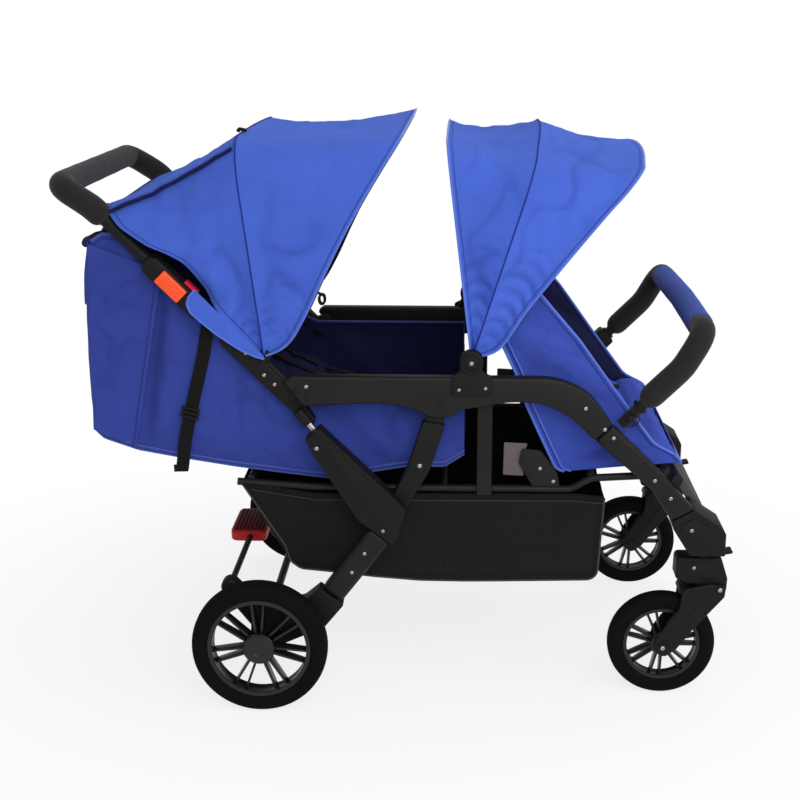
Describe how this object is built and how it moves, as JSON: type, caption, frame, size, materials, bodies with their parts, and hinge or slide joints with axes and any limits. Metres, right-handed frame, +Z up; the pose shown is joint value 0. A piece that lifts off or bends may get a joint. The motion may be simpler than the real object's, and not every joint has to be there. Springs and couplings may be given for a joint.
{
  "type": "quadruple stroller",
  "caption": "Folding side by side tandem stroller: seats in front and behind, hoods, storage basket, swivelling front wheels and foot brake.",
  "frame": {"origin": "on the floor, under the middle of the whole stroller", "axes": "+X forward, +Y to the stroller's left, +Z up"},
  "size_m": [1.2521, 0.7836, 1.0799],
  "materials": {
    "frame_paint": "black powder coat",
    "frame_plastic": "black moulded plastic",
    "foam": "black foam sleeve",
    "seat_cloth": "royal blue woven polyester",
    "hood_cloth": "royal blue woven polyester over bows",
    "basket_cloth": "black woven polyester",
    "grey_plastic": "dark grey ribbed plastic",
    "red_plastic": "red moulded plastic",
    "crimson_plastic": "crimson moulded plastic",
    "orange_plastic": "orange moulded plastic",
    "tyre": "dark rubber with fine tread",
    "steel": "bright steel rod"
  },
  "bodies": {
    "chassis": {"seat_frame": "frame_paint", "rear_seat_tub": "seat_cloth", "rear_seat_pad": "seat_cloth", "front_seat_shell": "seat_cloth", "front_seat_pad": "seat_cloth", "basket": "basket_cloth", "front_canopy_back": "hood_cloth", "side_rail_right": "frame_paint", "front_leg_right": "frame_paint", "front_joint_right": "frame_plastic", "canopy_post_right": "frame_plastic", "bumper_socket_right": "frame_plastic", "side_rail_left": "frame_paint", "front_leg_left": "frame_paint", "front_joint_left": "frame_plastic", "canopy_post_left": "frame_plastic", "bumper_socket_left": "frame_plastic"},
    "handle": {"handle_tube": "frame_paint", "handle_foam": "foam", "rear_canopy_back": "hood_cloth", "handle_bracket_right": "frame_plastic", "handle_bracket_left": "frame_plastic"},
    "rear_frame": {"rear_axle": "frame_paint", "rear_gusset_right": "frame_plastic", "rear_leg_right": "frame_paint", "rear_housing_right": "frame_plastic", "rear_gusset_left": "frame_plastic", "rear_leg_left": "frame_paint", "rear_housing_left": "frame_plastic"},
    "rear_wheel_right": {"rear_tyre_right": "tyre", "rear_rim_right": "frame_plastic"},
    "caster_right": {"caster_block_right": "frame_plastic"},
    "swivel_lever_right": {"swivel_lever_right": "frame_plastic"},
    "fork_right": {"fork_right": "frame_plastic"},
    "front_wheel_right": {"front_tyre_right": "tyre", "front_rim_right": "frame_plastic"},
    "fold_trigger_right": {"fold_trigger_right": "orange_plastic"},
    "lock_rod_right": {"lock_rod_right": "steel"},
    "safety_slider_right": {"safety_slider_right": "crimson_plastic"},
    "bumper_button_right": {"bumper_button_right": "red_plastic"},
    "rear_wheel_left": {"rear_tyre_left": "tyre", "rear_rim_left": "frame_plastic"},
    "caster_left": {"caster_block_left": "frame_plastic"},
    "swivel_lever_left": {"swivel_lever_left": "frame_plastic"},
    "fork_left": {"fork_left": "frame_plastic"},
    "front_wheel_left": {"front_tyre_left": "tyre", "front_rim_left": "frame_plastic"},
    "fold_trigger_left": {"fold_trigger_left": "orange_plastic"},
    "lock_rod_left": {"lock_rod_left": "steel"},
    "safety_slider_left": {"safety_slider_left": "crimson_plastic"},
    "bumper_button_left": {"bumper_button_left": "red_plastic"},
    "brake_pedal": {"brake_pedal": "red_plastic"},
    "rear_hood": {"rear_canopy_bow": "frame_plastic", "rear_canopy_front": "hood_cloth"},
    "front_hood": {"front_canopy_bow": "frame_plastic", "front_canopy_front": "hood_cloth"},
    "rear_backrest": {"rear_backrest": "seat_cloth"},
    "front_backrest": {"front_backrest": "seat_cloth"},
    "bumper_bar": {"bumper_bar": "foam"},
    "footrest": {"footrest": "grey_plastic"}
  },
  "joints": [
    {"name": "handle_fold", "type": "hinge", "parent": "chassis", "child": "handle", "pos_m": [-0.181, 0, 0.605], "axis": [0, 1, 0], "range_deg": [0, 9]},
    {"name": "rear_frame_fold", "type": "hinge", "parent": "chassis", "child": "rear_frame", "pos_m": [0.082, 0, 0.583], "axis": [0, 1, 0], "range_deg": [-45, 0]},
    {"name": "rear_wheel_spin_right", "type": "hinge", "parent": "rear_frame", "child": "rear_wheel_right", "pos_m": [-0.25, -0.37, 0.127], "axis": [0, 1, 0], "continuous": true},
    {"name": "caster_swivel_right", "type": "hinge", "parent": "chassis", "child": "caster_right", "pos_m": [0.577, -0.268, 0.255], "axis": [0, 0, 1], "continuous": true},
    {"name": "swivel_lock_right", "type": "hinge", "parent": "caster_right", "child": "swivel_lever_right", "pos_m": [0.6035, -0.268, 0.2845], "axis": [0, 1, 0], "range_deg": [0, 10]},
    {"name": "suspension_right", "type": "hinge", "parent": "caster_right", "child": "fork_right", "pos_m": [0.607, -0.268, 0.222], "axis": [0, 1, 0], "range_deg": [0, 7], "stiffness_Nm_per_rad": 60, "springref_deg": -14.32},
    {"name": "front_wheel_spin_right", "type": "hinge", "parent": "fork_right", "child": "front_wheel_right", "pos_m": [0.506, -0.268, 0.1016], "axis": [0, 1, 0], "continuous": true},
    {"name": "rear_wheel_spin_left", "type": "hinge", "parent": "rear_frame", "child": "rear_wheel_left", "pos_m": [-0.25, 0.37, 0.127], "axis": [0, 1, 0], "continuous": true},
    {"name": "caster_swivel_left", "type": "hinge", "parent": "chassis", "child": "caster_left", "pos_m": [0.577, 0.268, 0.255], "axis": [0, 0, 1], "continuous": true},
    {"name": "swivel_lock_left", "type": "hinge", "parent": "caster_left", "child": "swivel_lever_left", "pos_m": [0.6035, 0.268, 0.2845], "axis": [0, 1, 0], "range_deg": [0, 10]},
    {"name": "suspension_left", "type": "hinge", "parent": "caster_left", "child": "fork_left", "pos_m": [0.607, 0.268, 0.222], "axis": [0, 1, 0], "range_deg": [0, 7], "stiffness_Nm_per_rad": 60, "springref_deg": -14.32},
    {"name": "front_wheel_spin_left", "type": "hinge", "parent": "fork_left", "child": "front_wheel_left", "pos_m": [0.506, 0.268, 0.1016], "axis": [0, 1, 0], "continuous": true},
    {"name": "brake_press", "type": "hinge", "parent": "rear_frame", "child": "brake_pedal", "pos_m": [-0.31, 0, 0.225], "axis": [0, 1, 0], "range_deg": [-20, 0]},
    {"name": "rear_hood_fold", "type": "hinge", "parent": "handle", "child": "rear_hood", "pos_m": [-0.237, 0, 0.665], "axis": [0, 1, 0], "range_deg": [-37, 0], "deforming": ["rear_canopy_front"]},
    {"name": "front_hood_fold", "type": "hinge", "parent": "chassis", "child": "front_hood", "pos_m": [0.138, 0, 0.661], "axis": [0, 1, 0], "range_deg": [-20, 0], "deforming": ["front_canopy_front"]},
    {"name": "rear_recline", "type": "hinge", "parent": "chassis", "child": "rear_backrest", "pos_m": [-0.13, 0, 0.475], "axis": [0, 1, 0], "range_deg": [0, 45]},
    {"name": "front_recline", "type": "hinge", "parent": "chassis", "child": "front_backrest", "pos_m": [0.3, 0, 0.462], "axis": [0, 1, 0], "range_deg": [-20, 0]},
    {"name": "bumper_slide", "type": "slide", "parent": "chassis", "child": "bumper_bar", "axis": [0.7071, 0, 0.7071], "range_m": [0, 0.045]},
    {"name": "footrest_swing", "type": "hinge", "parent": "chassis", "child": "footrest", "pos_m": [0.518, 0, 0.436], "axis": [0, 1, 0], "range_deg": [-50, 0]},
    {"name": "button_press_right", "type": "slide", "parent": "chassis", "child": "bumper_button_right", "axis": [0, 1, 0], "range_m": [0, 0.002], "stiffness_N_per_m": 300, "springref_m": -0.004},
    {"name": "fold_pull_right", "type": "slide", "parent": "handle", "child": "fold_trigger_right", "axis": [-0.7071, 0, 0.7071], "range_m": [0, 0.012], "stiffness_N_per_m": 400, "springref_m": -0.01},
    {"name": "lock_lift_right", "type": "slide", "parent": "handle", "child": "lock_rod_right", "axis": [-0.6401, 0, 0.7683], "range_m": [0, 0.012]},
    {"name": "safety_slide_right", "type": "slide", "parent": "handle", "child": "safety_slider_right", "axis": [-0.7071, 0, 0.7071], "range_m": [0, 0.008]},
    {"name": "button_press_left", "type": "slide", "parent": "chassis", "child": "bumper_button_left", "axis": [0, -1, 0], "range_m": [0, 0.002], "stiffness_N_per_m": 300, "springref_m": -0.004},
    {"name": "fold_pull_left", "type": "slide", "parent": "handle", "child": "fold_trigger_left", "axis": [-0.7071, 0, 0.7071], "range_m": [0, 0.012], "stiffness_N_per_m": 400, "springref_m": -0.01},
    {"name": "lock_lift_left", "type": "slide", "parent": "handle", "child": "lock_rod_left", "axis": [-0.6401, 0, 0.7683], "range_m": [0, 0.012]},
    {"name": "safety_slide_left", "type": "slide", "parent": "handle", "child": "safety_slider_left", "axis": [-0.7071, 0, 0.7071], "range_m": [0, 0.008]}
  ],
  "couplings": [
    {"joint": "lock_lift_right", "follows": "fold_pull_right", "ratio": 1},
    {"joint": "lock_lift_left", "follows": "fold_pull_left", "ratio": 1}
  ]
}
